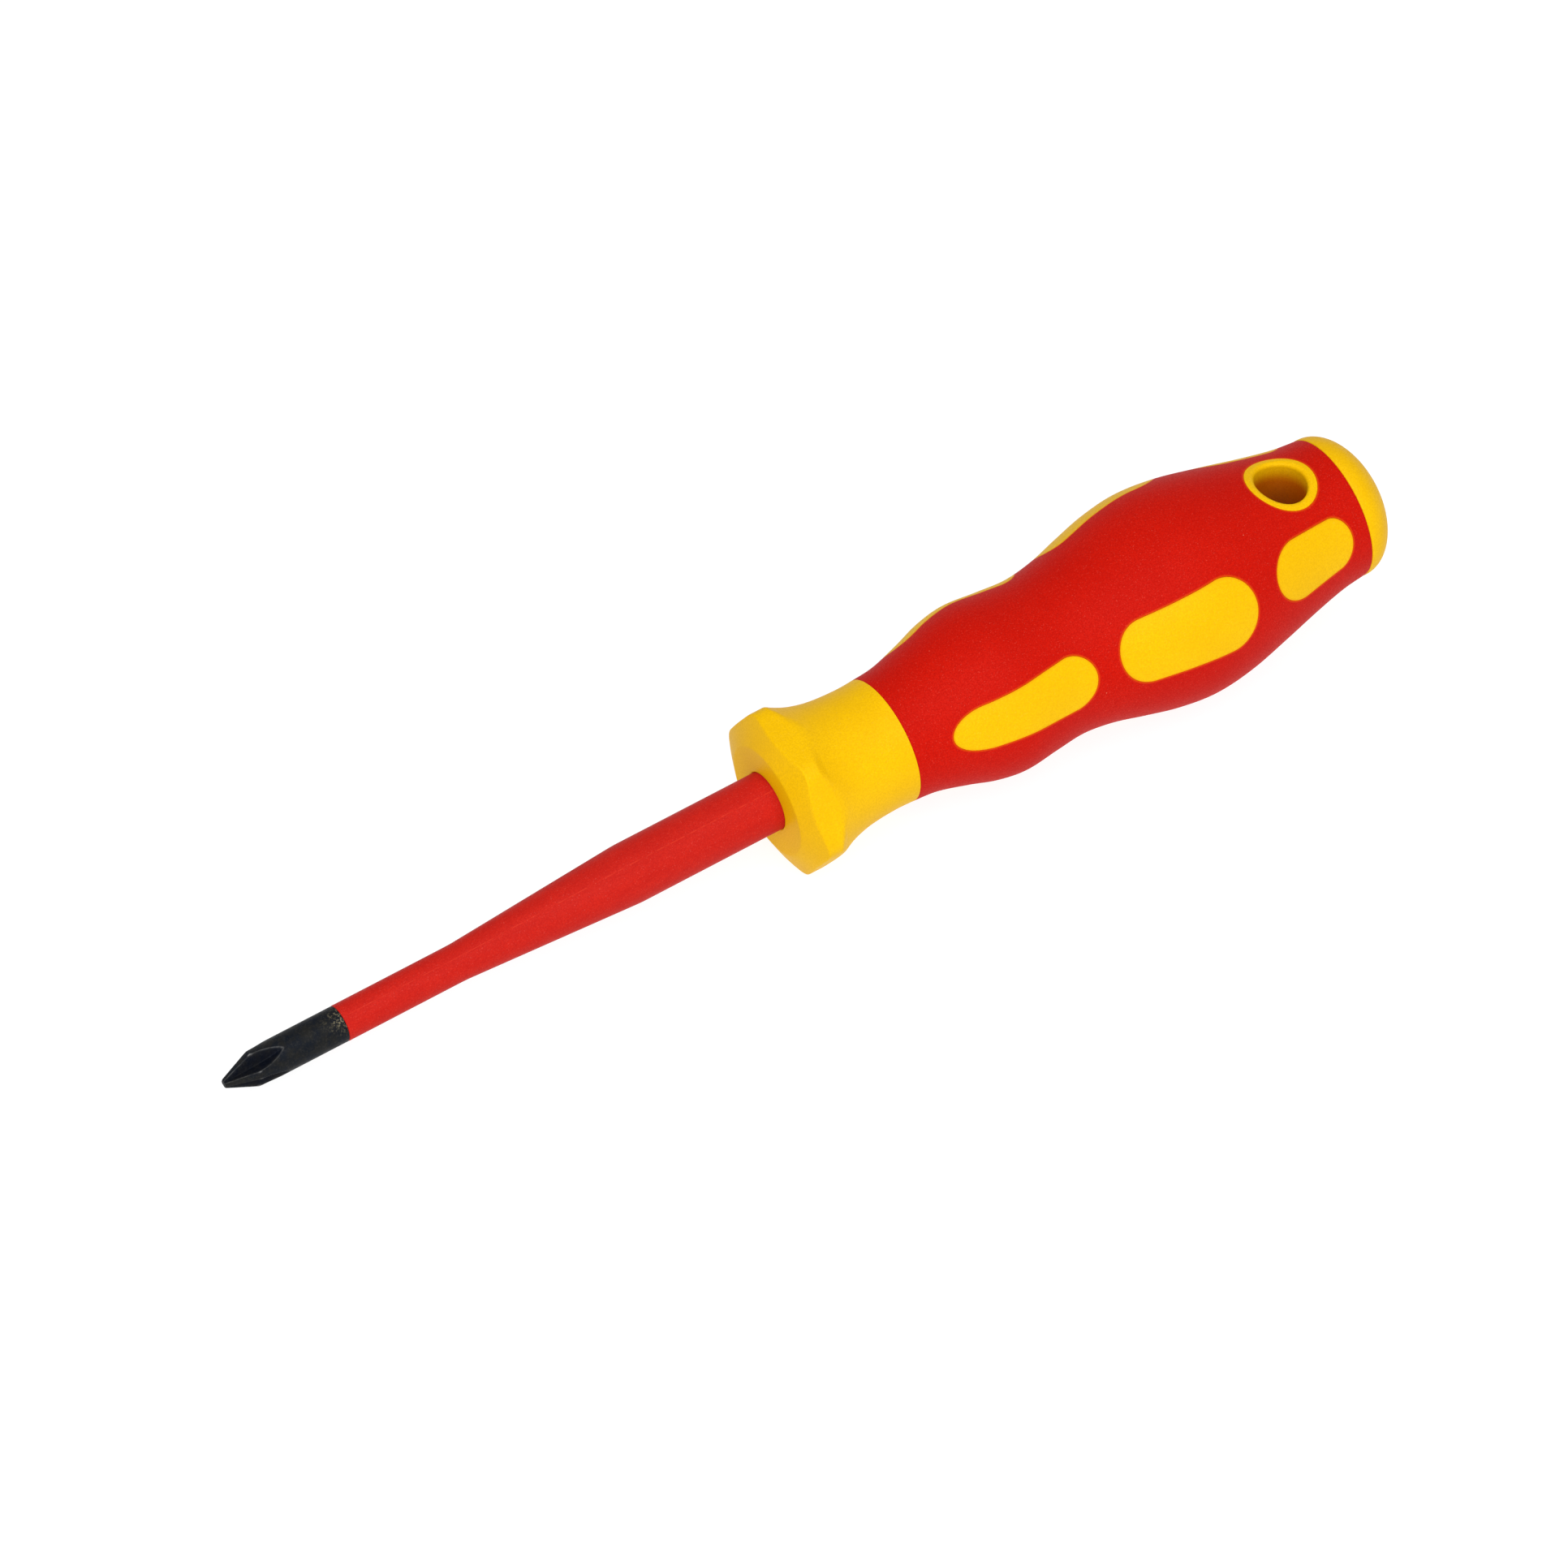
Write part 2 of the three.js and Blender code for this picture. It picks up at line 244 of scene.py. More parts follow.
def between(a, b, step):
    """Points between a and b, without either."""
    count = math.ceil((b - a).length / step)
    return [a.lerp(b, i / count) for i in range(1, count)]


# ------------------------------------------------------------------ meshes


def place(x, radius, angle):
    """A point by its place along the tool, its distance from the axis and its angle."""
    return (x, -radius * math.sin(angle), radius * math.cos(angle))


def ring(x, radius_at, sides):
    """Points round the axis, with radius_at(angle) giving each one's radius."""
    turns = [2 * math.pi * i / sides for i in range(sides)]
    return [place(x, radius_at(a), a) for a in turns]


def bands(rows, sides, wrap):
    """Faces between rows of points round an axis. With wrap the last row meets the first."""
    faces = []
    for row in range(rows if wrap else rows - 1):
        a, b = row * sides, (row + 1) % rows * sides
        for i in range(sides):
            j = (i + 1) % sides
            faces.append((a + i, b + i, b + j, a + j))
    return faces


def round_solid(path, sides, radius_at=lambda x, r, angle: r, wrap=False):
    """Vertices and faces of a solid swept round the axis from a path of (x, radius).
    With wrap the path closes on itself, and otherwise both ends are closed by a fan."""
    verts = []
    for x, r in path:
        verts += ring(x, lambda angle: radius_at(x, r, angle), sides)
    rows = len(path)
    faces = bands(rows, sides, wrap)
    if not wrap:
        for row, x in ((0, path[0][0]), (rows - 1, path[-1][0])):
            verts.append((x, 0, 0))
            for i in range(sides):
                a, b = row * sides + i, row * sides + (i + 1) % sides
                faces.append((a, b, len(verts) - 1) if row == 0 else (b, a, len(verts) - 1))
    return verts, faces


def close_mesh(mesh):
    """Joins points that meet and turns every face outwards."""
    shape = bmesh.new()
    shape.from_mesh(mesh)
    bmesh.ops.remove_doubles(shape, verts=shape.verts, dist=MERGE * MM)
    bmesh.ops.recalc_face_normals(shape, faces=shape.faces)
    shape.to_mesh(mesh)
    shape.free()


def make_piece(name, verts, faces, material, nodes, slot, **attributes):
    """A mesh object of the tool from vertices in millimetres. It stands for its CAD nodes
    and rides on the tool's one body."""
    mesh = bpy.data.meshes.new(name)
    mesh.from_pydata([Vector(v) * MM for v in verts], [], faces)
    for key, values in attributes.items():
        mesh.attributes.new(key, "FLOAT", "POINT").data.foreach_set("value", values)
    close_mesh(mesh)
    mesh.shade_smooth()
    mesh.set_sharp_from_angle(angle=math.radians(50))
    mesh.materials.append(material)
    piece = bpy.data.objects.new(name, mesh)
    bpy.context.collection.objects.link(piece)
    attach(piece, "root")
    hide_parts(*nodes)
    return piece


# ------------------------------------------------------------------ windows and sheets


def window_outline(window, margin):
    """Outline of a window grown by a margin, as (along, across) points."""
    start, end, nose, tail, nose_half, tail_half = window

    def rounded(centre, reach, half, turned):
        turns = [turned + math.pi * k / WINDOW_END_POINTS for k in range(WINDOW_END_POINTS)]
        return [(centre + reach * math.cos(a), half * math.sin(a)) for a in turns]

    def straight(first, last):
        shares = [k / WINDOW_SIDE_POINTS for k in range(WINDOW_SIDE_POINTS)]
        return [tuple(first.lerp(last, share)) for share in shares]

    nose_half, tail_half = nose_half + margin, tail_half + margin
    front, back = start + nose, end - tail
    points = rounded(front, nose + margin, nose_half, math.pi / 2)
    points += straight(Vector((front, -nose_half)), Vector((back, -tail_half)))
    points += rounded(back, tail + margin, tail_half, -math.pi / 2)
    points += straight(Vector((back, tail_half)), Vector((front, nose_half)))
    return points


def window_margin(window, s, across):
    """Roughly how far a point lies outside a window, negative inside it."""
    start, end, nose, tail, nose_half, tail_half = window
    if s < start + nose:
        ds, a, b = s - start - nose, nose, nose_half
    elif s > end - tail:
        ds, a, b = s - end + tail, tail, tail_half
    else:
        t = (s - start - nose) / (end - tail - start - nose)
        return abs(across) - (nose_half + (tail_half - nose_half) * t)
    k = max(1e-6, math.hypot(ds / a, across / b))
    return (1 - 1 / k) * math.hypot(ds, across)


def hole_outline(margin):
    """Outline of the bush's outer edge grown by a margin."""
    turns = [2 * math.pi * k / HOLE_SIDES for k in range(HOLE_SIDES)]
    radius = BUSH_RADIUS + margin
    return [(HOLE_X + radius * math.cos(a), radius * math.sin(a)) for a in turns]


def hole_margin(s, across):
    """How far a point lies outside the bush's outer edge, negative inside it."""
    return math.hypot(s - HOLE_X, across) - BUSH_RADIUS


def openings():
    """Every opening in the grip, as (name, row angle, outline, margin)."""
    found = []
    for place_name, window in WINDOWS.items():
        for row, angle in ROWS.items():
            if (place_name, row) != ("rear", "bottom"):
                found.append((
                    f"{place_name}_inlay_{row}", angle,
                    lambda m, w=window: window_outline(w, m),
                    lambda s, y, w=window: window_margin(w, s, y),
                ))
    for name, angle in (("hole_top", 0.0), ("hole_bottom", math.pi)):
        found.append((name, angle, hole_outline, hole_margin))
    return found


LIP_TURNS = [math.radians(a) for a in (0, 30, 60, 90)]
LIP_RINGS = [(LIP * (1 - math.cos(a)), LIP * (1 - math.sin(a))) for a in LIP_TURNS]
HALO_RINGS = [(LIP + (HALO - LIP) * t, 0.0) for t in (0.25, 0.5, 0.75, 1.0)]


def unrolled(s, across, row):
    """A point of an opening's outline on the unrolled grip."""
    angle = row + math.asin(across / handle_radius(s))
    while angle > CUT:
        angle -= 2 * math.pi
    while angle < CUT - 2 * math.pi:
        angle += 2 * math.pi
    return Vector((s, angle * FLAT_RADIUS))


def on_cut(point):
    """Whether an unrolled point lies on the line where the grip's sheet meets itself."""
    angle = point.y / FLAT_RADIUS
    return min(abs(angle - CUT), abs(angle - CUT + 2 * math.pi)) < 1e-4


def sheet_solid(flat, depth, inner_depth, triangles):
    """A solid sheet: its outer face goes through unrolled points at their depths below the
    handle's surface, and its inner face lies inner_depth below it. Its edges are walled in,
    apart from those on the cut, which meet each other."""
    count = len(flat)
    verts = []
    for inner in (False, True):
        for p, d in zip(flat, depth):
            sunk = inner_depth if inner else d
            verts.append(place(COLLAR_X + p.x, handle_radius(p.x) - sunk, p.y / FLAT_RADIUS))
    faces = [tuple(t) for t in triangles]
    faces += [tuple(count + i for i in reversed(t)) for t in triangles]
    edges = [edge for a, b, c in triangles for edge in ((a, b), (b, c), (c, a))]
    seen = set(edges)
    for a, b in edges:
        if (b, a) not in seen and not (on_cut(flat[a]) and on_cut(flat[b])):
            faces.append((b, a, count + a, count + b))
    return verts, faces


def triangulated(points, edges, areas):
    """Triangles over points that keep the edges. Gives the points, the triangles, each
    point's source and, for each triangle, whether it lies in one of the areas."""
    flat, _, triangles, sources, _, inside = delaunay_2d_cdt(points, edges, areas, 0, 1e-5)
    return flat, triangles, [s[0] for s in sources], [len(found) > 0 for found in inside]


class Sheet:
    """Points and edges on the unrolled grip, ready to be triangulated."""

    def __init__(self):
        self.points, self.depth, self.rim, self.edges, self.areas = [], [], [], [], []

    def add(self, point, depth=0.0, rim=0.0):
        """Adds a point at a depth below the handle's surface. Gives its number."""
        self.points.append(point)
        self.depth.append(depth)
        self.rim.append(rim)
        return len(self.points) - 1

    def add_loop(self, points, depth, rim, area=False):
        """Adds a closed loop, which can be the outline of an area."""
        ids = [self.add(p, depth, rim) for p in points]
        self.edges += list(zip(ids, ids[1:] + ids[:1]))
        if area:
            self.areas.append(ids)

    def solid(self, inner_depth, keep_inside):
        """The solid sheet, kept inside its areas or outside them, and its rim values."""
        flat, triangles, sources, inside = triangulated(self.points, self.edges, self.areas)
        kept = [t for t, inn in zip(triangles, inside) if inn == keep_inside]
        used = sorted({i for t in kept for i in t})
        new = {old: i for i, old in enumerate(used)}
        kept = [tuple(new[i] for i in t) for t in kept]
        depth = [self.depth[sources[i]] for i in used]
        verts, faces = sheet_solid([flat[i] for i in used], depth, inner_depth, kept)
        return verts, faces, [self.rim[sources[i]] for i in used] * 2


def grip_sheet():
    """The red grip, open at its windows and round the bush."""
    sheet = Sheet()
    found = openings()
    for _, row, outline, _ in found:
        for i, (m, d) in enumerate(LIP_RINGS + HALO_RINGS):
            loop = [unrolled(s, y, row) for s, y in outline(m + SEAM / 2)]
            sheet.add_loop(loop, d, 1 - m / HALO, area=i == 0)
    first, last = GRIP_START + SEAM / 2, GRIP_END - SEAM / 2
    border_width = 0.3
    ends = LIP_RINGS + [(border_width, 0.0)]
    between_ends = spaced(first + border_width, last - border_width, FINE_STEP)[1:-1]
    stations = [(first + m, d) for m, d in ends]
    stations += [(s, 0.0) for s in between_ends]
    stations += [(last - m, d) for m, d in reversed(ends)]
    columns = 2 * round(math.pi * FLAT_RADIUS / FINE_STEP)
    clear = HALO + FINE_CLEARANCE
    border = {0: [], columns: []}
    for s, d in stations:
        for c in range(columns + 1):
            angle = CUT - 2 * math.pi + 2 * math.pi * c / columns
            if near_opening(found, s, angle, clear):
                continue
            point = sheet.add(Vector((s, angle * FLAT_RADIUS)), d)
            if c in border:
                border[c].append(point)
    for side in border.values():
        sheet.edges += list(zip(side, side[1:]))
    return sheet


def near_opening(found, s, angle, clear):
    """Whether a point of the grip lies in an opening or closer to one than clear."""
    widest = 1.2  # no opening reaches this angle from the middle of its row
    for _, row, _, margin in found:
        off = (angle - row + math.pi) % (2 * math.pi) - math.pi
        if abs(off) < widest and margin(s, handle_radius(s) * math.sin(off)) < clear:
            return True
    return False


def inlay_sheet(row, outline, margin):
    """One yellow inlay, flush with the grip."""
    sheet = Sheet()
    for i, (m, d) in enumerate(LIP_RINGS + HALO_RINGS):
        loop = [unrolled(s, y, row) for s, y in outline(-m - SEAM / 2)]
        sheet.add_loop(loop, d, 1 - m / HALO, area=i == 0)
    low, high = min(p.x for p in sheet.points), max(p.x for p in sheet.points)
    reach = 6.0  # more than half the width of any window
    for s in spaced(low, high, FINE_STEP):
        for y in spaced(-reach, reach, FINE_STEP):
            if margin(s, y) < -HALO - FINE_CLEARANCE:
                sheet.add(unrolled(s, y, row))
    return sheet


# ------------------------------------------------------------------ blade and sleeve


def flute_radius(x, angle):
    """How far the flutes leave the blade standing at a place and an angle. It is far
    outside the blade where no flute cuts it."""
    quarter = math.pi / 2
    off = abs((angle - FLUTE_TURN + quarter / 2) % quarter - quarter / 2)
    off = math.hypot(off, FLUTE_ROOT_ROUNDING)
    left = SHANK_RADIUS - FLUTE_ROOT - FLUTE_RISE * FLUTE_RUN_OUT
    along = max(0.0, x - FLUTE_CURVE_START) / (FLUTE_RUN_OUT - FLUTE_CURVE_START)
    root = FLUTE_ROOT + FLUTE_RISE * x + left * along**2
    opening = math.cos(off) - math.sin(off) / math.tan(FLUTE_HALF_ANGLE)
    return root / max(0.02, opening)


def wing_radius(angle, margin):
    """Outline of the two wings of the tang, seen along the tool."""
    across = max(1e-6, abs(math.sin(angle)))
    up = max(1e-6, abs(math.cos(angle)))
    return min((WING_SPAN / 2 + margin) / across, (WING_THICKNESS / 2 + margin) / up)


def tang_radius(x, r, angle, margin=0.0):
    """The tang's radius, with the wings standing out over a short length."""
    if WING_START - margin <= x <= WING_START + WING_LENGTH + margin:
        return max(r, wing_radius(angle, margin))
    return r


def blade_radius(x, r, angle):
    """The blade's radius: flutes at its tip, and wings on its tang."""
    if x < FLUTED_LENGTH and r > 0.01:
        return smooth_min(r, flute_radius(x, angle), min(FLUTE_EDGE, 0.4 * r))
    return tang_radius(x, r, angle)


def wing_steps(margin):
    """Places where the wings begin and end, close on each side of each face."""
    first, last = WING_START - margin, WING_START + WING_LENGTH + margin
    return [first - WING_RISE, first, last, last + WING_RISE]


def flute_depth(x, r, angle):
    """How deep a place lies in a flute, from 0 on the blade's own surface to 1."""
    if x > FLUTED_LENGTH or r < TIP_MIDDLE:
        return 0.0
    full_depth = 0.5
    return min(1.0, max(0.0, (r - flute_radius(x, angle)) / full_depth))


def make_blade(material):
    """The blackened blade with its tang."""
    tip = filleted([
        (0, 0.02, 0), (0, TIP_FLAT_RADIUS, TIP_FILLET),
        (CONE_LENGTH, SHANK_RADIUS, CONE_FILLET), (FLUTED_LENGTH, SHANK_RADIUS, 0),
    ], TIP_STEP)
    shank = filleted([
        (FLUTED_LENGTH, SHANK_RADIUS, 0), (BARE_LENGTH, SHANK_RADIUS, SHANK_END_FILLET),
        (BARE_LENGTH, SLIM_ROD_RADIUS, 0),
    ], LONG_STEP)
    rod = [(TAPER_START, SLIM_ROD_RADIUS), (TAPER_END, ROD_RADIUS)]
    rod += [(x, ROD_RADIUS) for x in wing_steps(0)]
    rod += [(TANG_END - 1, ROD_RADIUS), (TANG_END, ROD_RADIUS - 1)]
    path = tip + shank[1:] + rod
    verts, faces = round_solid(path, BLADE_SIDES, blade_radius)
    wear, rubbed, fluted = [], [], []
    for x, r in path:
        for i in range(BLADE_SIDES):
            angle = 2 * math.pi * i / BLADE_SIDES
            wear.append(edge_wear(x, r, angle))
            rubbed.append(sleeve_rub(x, angle))
            fluted.append(flute_depth(x, r, angle))
    # The last two points are the middles of the blade's ends.
    wear += [0.3, 0.0]
    rubbed += [0.0, 0.0]
    fluted += [0.0, 0.0]
    make_piece("steel_blade", verts, faces, material, ["blade"], "blade_steel",
               wear=wear, rubbed=rubbed, fluted=fluted)


def edge_wear(x, r, angle):
    """How worn the blade is: a little along the edges of the flutes, and most where they
    cross the end of the cone."""
    if x > FLUTED_LENGTH or r < TIP_MIDDLE:
        return 0.0
    edge_width, corner_length, corner_width = 0.11, 0.25, 0.7
    away = flute_radius(x, angle) - r
    spread = corner_width if away > 0 else edge_width
    edge = math.exp(-((away / edge_width) ** 2))
    corner = math.exp(-(((x - CONE_LENGTH) / corner_length) ** 2) - (away / spread) ** 2)
    return 0.14 * edge + 0.6 * corner


def sleeve_rub(x, angle):
    """How rubbed the steel is on top, just in front of the sleeve."""
    patch_length, patch_angle, patch_spread = 1.6, math.radians(20), 0.6
    off = (angle - patch_angle + math.pi) % (2 * math.pi) - math.pi
    along = math.exp(-(((x - BARE_LENGTH) / patch_length) ** 2))
    around = math.exp(-((off / patch_spread) ** 2))
    return along * around


def make_sleeve(material):
    """The red insulation round the blade."""
    front = BARE_LENGTH + SEAM
    outside = filleted([
        (front, SLIM_ROD_RADIUS + 0.1, 0), (front, SLIM_SLEEVE_RADIUS, SLEEVE_RIM_FILLET),
        (TAPER_START, SLIM_SLEEVE_RADIUS, TAPER_START_FILLET),
        (TAPER_END, SLEEVE_RADIUS, TAPER_END_FILLET), (SLEEVE_END, SLEEVE_RADIUS, 0),
    ], LONG_STEP)
    inside = [
        (SLEEVE_END, ROD_RADIUS + SEAM), (TAPER_END, ROD_RADIUS + SEAM),
        (TAPER_START, SLIM_ROD_RADIUS + SEAM), (front, SLIM_ROD_RADIUS + SEAM),
    ]
    verts, faces = round_solid(outside + inside, SLEEVE_SIDES, wrap=True)
    make_piece("insulating_sleeve", verts, faces, material, ["blade_sleeve"],
               "sleeve_insulation")


# ------------------------------------------------------------------ handle


def collar_limit(angle):
    """Distance from the axis to the collar's six flats."""
    sixth = math.pi / 3
    off = (angle + sixth / 2) % sixth - sixth / 2
    return COLLAR_APOTHEM / math.cos(off)


def core_radius(x, r, angle):
    """The core's radius: flats round the collar, and a pocket for the wings inside."""
    s = x - COLLAR_X
    if s < COLLAR_REACH and r > SLEEVE_RADIUS + 1:
        return smooth_min(r, collar_limit(angle), COLLAR_EDGE)
    if r < SLEEVE_RADIUS - 1:
        return tang_radius(x, r, angle, margin=SEAM)
    return r


def make_core(material):
    """The yellow core as one closed surface: from the bottom of the spigot's pocket round
    the outside to the collar, and back along the bore to the bottom of the tang's bore."""
    bore, tang_bore = SLEEVE_RADIUS + SEAM, ROD_RADIUS + SEAM
    corner = COLLAR_CORNER_RADIUS + COLLAR_CORNER_EXTRA
    front = filleted([
        (COLLAR_MOUTH, bore, 0), (0, bore, COLLAR_MOUTH_FILLET),
        (0, COLLAR_FACE_RADIUS, COLLAR_FACE_FILLET),
        (COLLAR_CHAMFER, corner, COLLAR_CORNER_FILLET),
        (COLLAR_BACK, corner, COLLAR_CORNER_FILLET),
        (NECK_START, handle_radius(NECK_START), 0),
    ], EDGE_STEP)
    neck_end = GRIP_START - SEAM / 2
    neck = [(s, handle_radius(s)) for s in spaced(NECK_START, neck_end - LIP, NECK_STEP)[1:]]
    lip = [(neck_end - m, handle_radius(GRIP_START) - d) for m, d in reversed(LIP_RINGS[:-1])]
    end = GRIP_END - SEAM
    under = [(s, handle_radius(s) - GRIP_THICKNESS) for s in spaced(GRIP_START, end, UNDER_STEP)]
    pocket_end = end - SPIGOT_LENGTH
    pocket = [
        (end, SPIGOT_RADIUS + SEAM), (pocket_end, SPIGOT_RADIUS + SEAM), (pocket_end, MIDDLE),
    ]
    sleeve_stop, tang_stop = SLEEVE_END - COLLAR_X + SEAM, TANG_END - COLLAR_X + SEAM
    bores = [(sleeve_stop, bore), (sleeve_stop, tang_bore)]
    bores += [(x - COLLAR_X, tang_bore) for x in wing_steps(SEAM)]
    bores += [(tang_stop, tang_bore), (tang_stop, MIDDLE)]
    outside = front + neck + lip + under + pocket
    path = [(COLLAR_X + s, r) for s, r in outside[::-1] + bores]
    verts, faces = round_solid(path, CORE_SIDES, core_radius)
    core = make_piece("core_and_collar", verts, faces, material, ["handle_core"],
                      "yellow_plastic")
    cut_hole(core)


def cut_hole(core):
    """Cuts the way for the bush through the core."""
    reach = 20.0
    path = [(-reach, BUSH_RADIUS + SEAM), (reach, BUSH_RADIUS + SEAM)]
    verts, faces = round_solid(path, HOLE_SIDES)
    mesh = bpy.data.meshes.new("hole_cutter")
    upright = [Vector((COLLAR_X + HOLE_X + across, along, up)) for up, across, along in verts]
    mesh.from_pydata([point * MM for point in upright], [], faces)
    close_mesh(mesh)
    cutter = bpy.data.objects.new("hole_cutter", mesh)
    bpy.context.collection.objects.link(cutter)
    cut = core.modifiers.new("hole", "BOOLEAN")
    cut.operation, cut.solver, cut.object = "DIFFERENCE", "EXACT", cutter
    bpy.context.view_layer.update()
    graph = bpy.context.evaluated_depsgraph_get()
    result = bpy.data.meshes.new_from_object(core.evaluated_get(graph))
    core.modifiers.clear()
    core.data = result
    bpy.data.objects.remove(cutter)


def make_bush(material):
    """The yellow bush: a tube through the handle, flush outside, with a rounded mouth."""
    outer, inner = BUSH_RADIUS - SEAM / 2, HOLE_RADIUS
    rim = [(outer - m, d) for m, d in LIP_RINGS]
    flat = [(r, 0.0) for r in spaced(outer - LIP, inner + BUSH_LIP, BUSH_STEP)[1:]]
    mouth = []
    for k in range(1, MOUTH_STEPS + 1):
        a = math.pi / 2 * k / MOUTH_STEPS
        mouth.append((inner + BUSH_LIP * (1 - math.sin(a)), BUSH_LIP * (1 - math.cos(a))))
    top = [(radius, depth, 1.0) for radius, depth in rim + flat + mouth]
    shares = [1 - 2 * row / BUSH_WALL_ROWS for row in range(1, BUSH_WALL_ROWS)]
    wall = [(inner, BUSH_LIP, share) for share in shares]
    bottom = [(radius, depth, -1.0) for radius, depth, _ in reversed(top)]
    verts, bore_shade_depths = [], []
    for radius, depth, share in top + wall + bottom:
        for i in range(BUSH_SIDES):
            a = 2 * math.pi * i / BUSH_SIDES
            s, across = HOLE_X + radius * math.cos(a), radius * math.sin(a)
            height = math.sqrt(handle_radius(s) ** 2 - across**2) - depth
            verts.append((COLLAR_X + s, -across, share * height))
            # how deep each point lies in the bore; the yellow material paints shade inside the bore
            # from it
            bore_shade_depths.append((1 - abs(share)) * height)
    faces = bands(len(verts) // BUSH_SIDES, BUSH_SIDES, wrap=True)
    make_piece("hole_bush", verts, faces, material, ["hang_hole_bush"], "yellow_plastic",
               depth=bore_shade_depths)


def make_cap(material):
    """The domed end cap, a little proud of the grip, on a short spigot."""
    start = GRIP_END + SEAM / 2
    spigot_start, dome_start = start - SPIGOT_LENGTH, start + CAP_RIM
    dome = CAP_END - dome_start
    path = filleted([
        (spigot_start, MIDDLE, 0), (spigot_start, SPIGOT_RADIUS, SPIGOT_FILLET),
        (start, SPIGOT_RADIUS, 0), (start, CAP_RADIUS, CAP_EDGE_FILLET),
        (dome_start, CAP_RADIUS, 0),
    ], CAP_STEP)
    for k in range(1, DOME_STEPS):
        a = math.pi / 2 * k / DOME_STEPS
        path.append((dome_start + dome * math.sin(a), CAP_RADIUS * math.cos(a)))
    path = [(COLLAR_X + s, r) for s, r in path]
    verts, faces = round_solid(path, CAP_SIDES)
    verts[-1] = (COLLAR_X + CAP_END, 0, 0)  # the top of the dome
    make_piece("domed_cap", verts, faces, material, ["end_cap"], "yellow_plastic")


def make_grip(material):
    """The red grip, one sheet wrapped round the core."""
    verts, faces, rim = grip_sheet().solid(GRIP_THICKNESS - SEAM, keep_inside=False)
    make_piece("soft_grip", verts, faces, material, ["grip_shell"], "grip_rubber", rim=rim)


def make_inlays(material):
    """The eight yellow inlays, one in each window of the grip."""
    for name, row, outline, margin in openings():
        if name.startswith("hole"):
            continue
        sheet = inlay_sheet(row, outline, margin)
        verts, faces, rim = sheet.solid(GRIP_THICKNESS - SEAM, keep_inside=True)
        place_name, _, row_name = name.split("_")
        make_piece(f"inlay_{place_name}_{row_name}", verts, faces, material, [name],
                   "yellow_plastic", rim=rim)


# ------------------------------------------------------------------ materials


